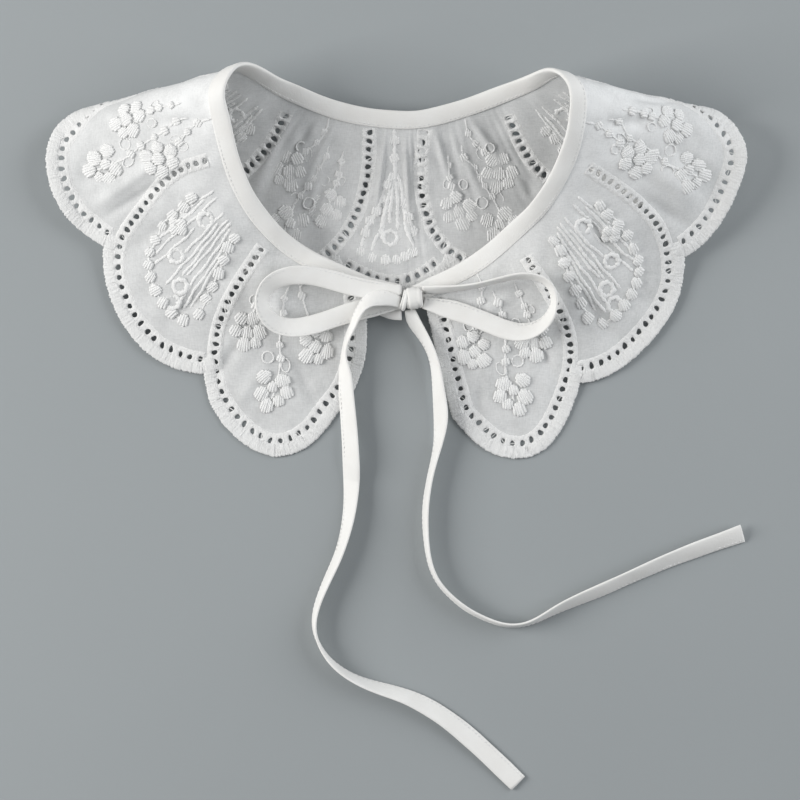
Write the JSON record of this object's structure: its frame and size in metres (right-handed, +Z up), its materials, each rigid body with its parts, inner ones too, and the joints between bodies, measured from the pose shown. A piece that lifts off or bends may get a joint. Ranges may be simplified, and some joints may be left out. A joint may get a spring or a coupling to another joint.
{
  "type": "lace collar",
  "caption": "Detachable cotton collar with a scalloped embroidered hem, lying folded at the shoulders, its neck binding tied in a bow in front.",
  "frame": {"origin": "on the surface the collar lies on, under the middle of the bounding box of the collar and its bow, without the two free tie ends", "axes": "+Z up from the surface, +Y from the bow in front to the fold at the back of the neck, +X to the right of the view from above"},
  "size_m": [0.2852, 0.294, 0.0515],
  "materials": {
    "cotton_voile": "matt",
    "cotton_tape": "matt"
  },
  "bodies": {
    "root": {"collar_cloth": "cotton_voile", "neck_binding": "cotton_tape", "bow_knot": "cotton_tape", "bow_loop_left": "cotton_tape", "bow_loop_right": "cotton_tape", "bow_tuck": "cotton_tape", "tie_left": "cotton_tape", "tie_right": "cotton_tape"}
  },
  "joints": []
}
